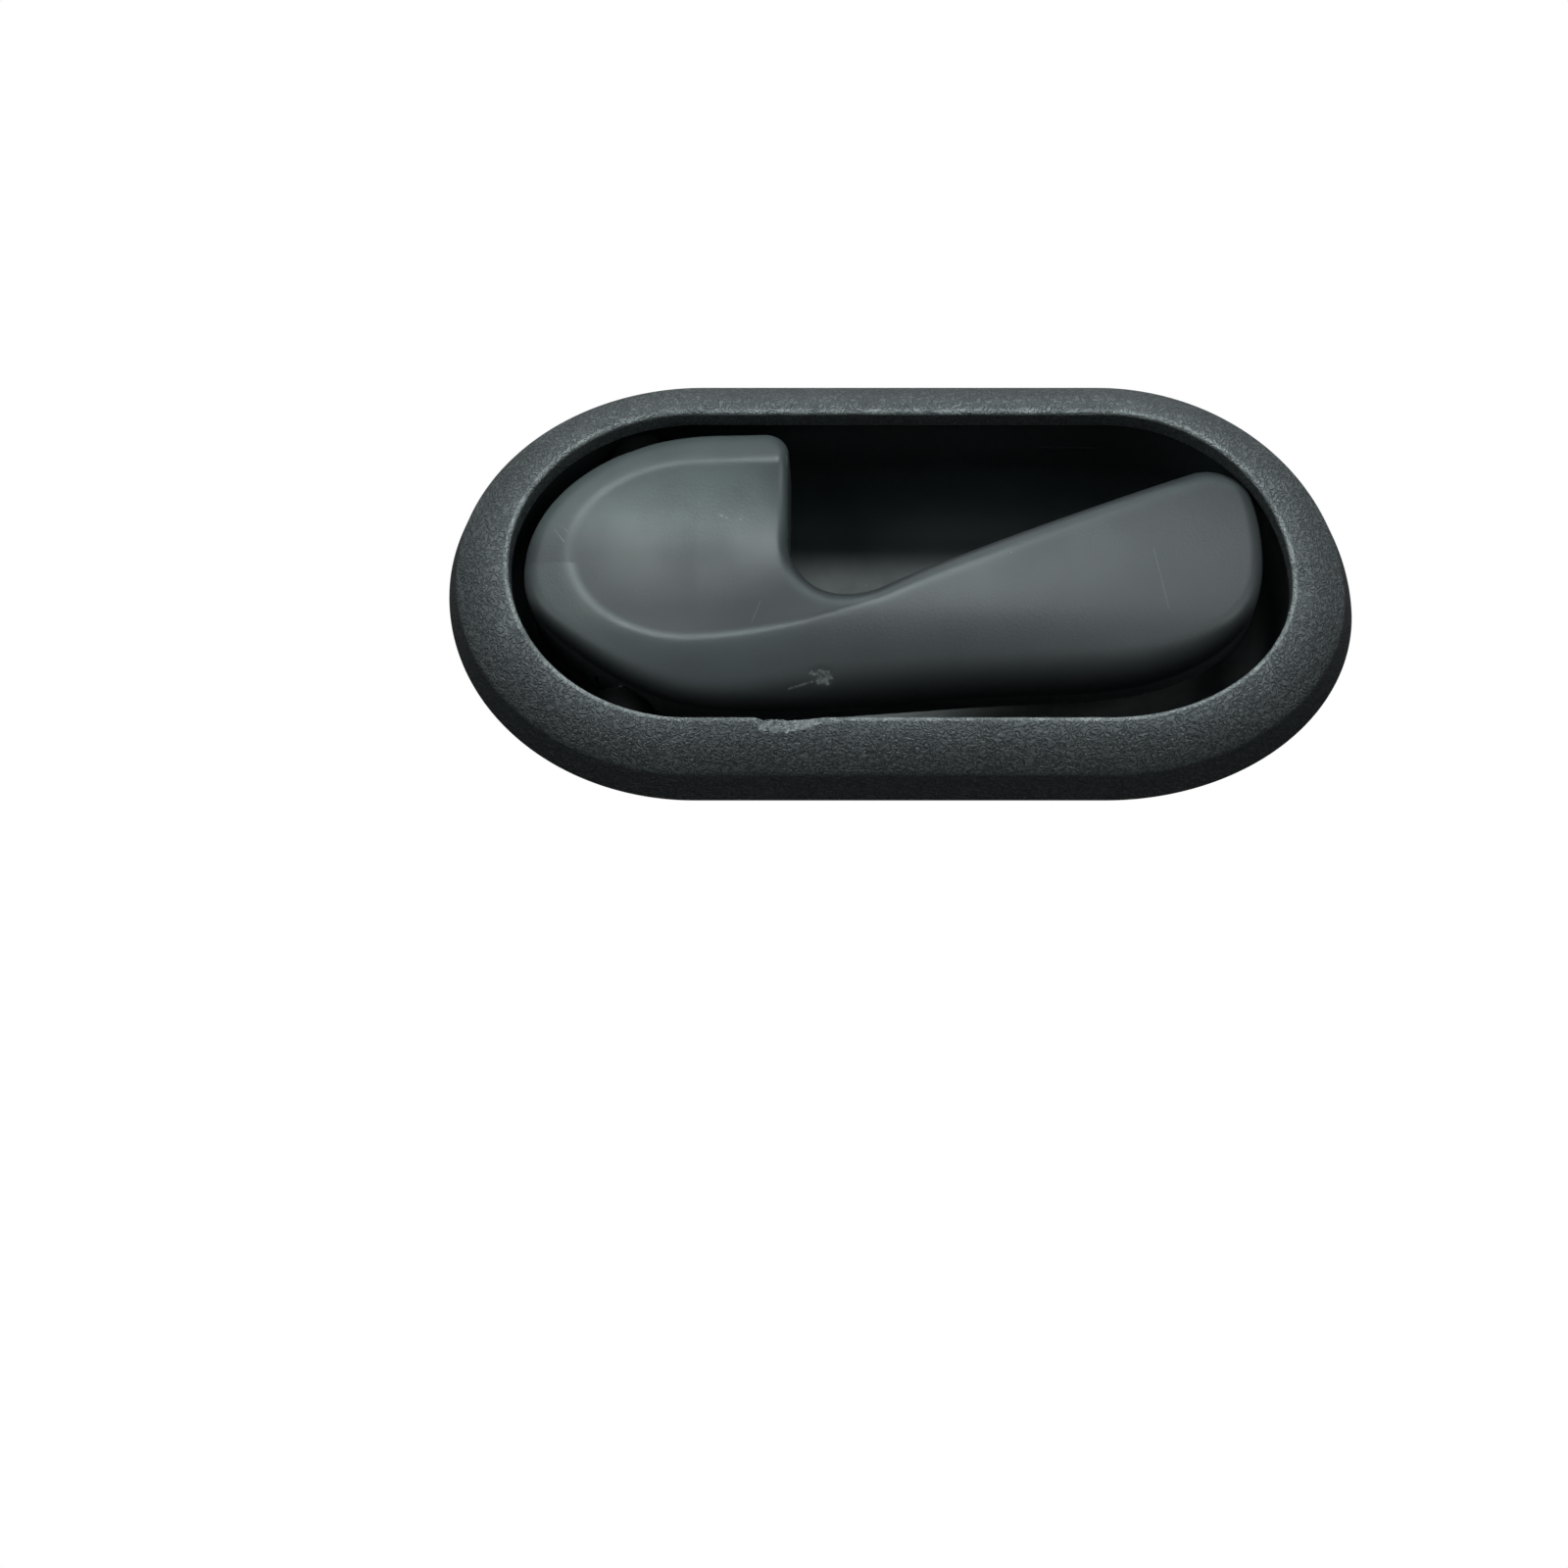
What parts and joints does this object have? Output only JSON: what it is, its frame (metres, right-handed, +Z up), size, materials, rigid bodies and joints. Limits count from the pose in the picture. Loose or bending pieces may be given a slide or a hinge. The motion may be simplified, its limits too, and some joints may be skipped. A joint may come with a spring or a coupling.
{
  "type": "car interior door handle",
  "caption": "Oval black plastic interior door handle: domed bezel ring, scooped finger cup and a sprung, sculpted pull lever with a thumb dish.",
  "frame": {"origin": "centre of the bezel's back plane, which lies on the face of the door panel", "axes": "+X along the handle from the pivot end to the pull end, +Y out of the cabin into the door, +Z up"},
  "size_m": [0.14, 0.0435, 0.068],
  "materials": {
    "bezel_plastic": "black, coarse moulded grain, slightly shiny",
    "housing_plastic": "black, plain moulded",
    "lever_plastic": "black satin, fine even grain, worn",
    "steel": "bright drawn wire and turned pin",
    "rubber": "black moulded rubber"
  },
  "bodies": {
    "base": {"bezel": "bezel_plastic", "housing": "housing_plastic", "pivot_pin": "steel", "pin_clip": "steel", "return_spring": "steel", "rest_buffer": "rubber"},
    "pull": {"lever": "lever_plastic"}
  },
  "joints": [
    {"name": "lever_hinge", "type": "hinge", "parent": "base", "child": "pull", "pos_m": [-0.042, -0.002, 0], "axis": [0, 0, -1], "range_deg": [0, 40], "stiffness_Nm_per_rad": 0.25, "springref_deg": -34.38, "deforming": ["return_spring"]}
  ]
}
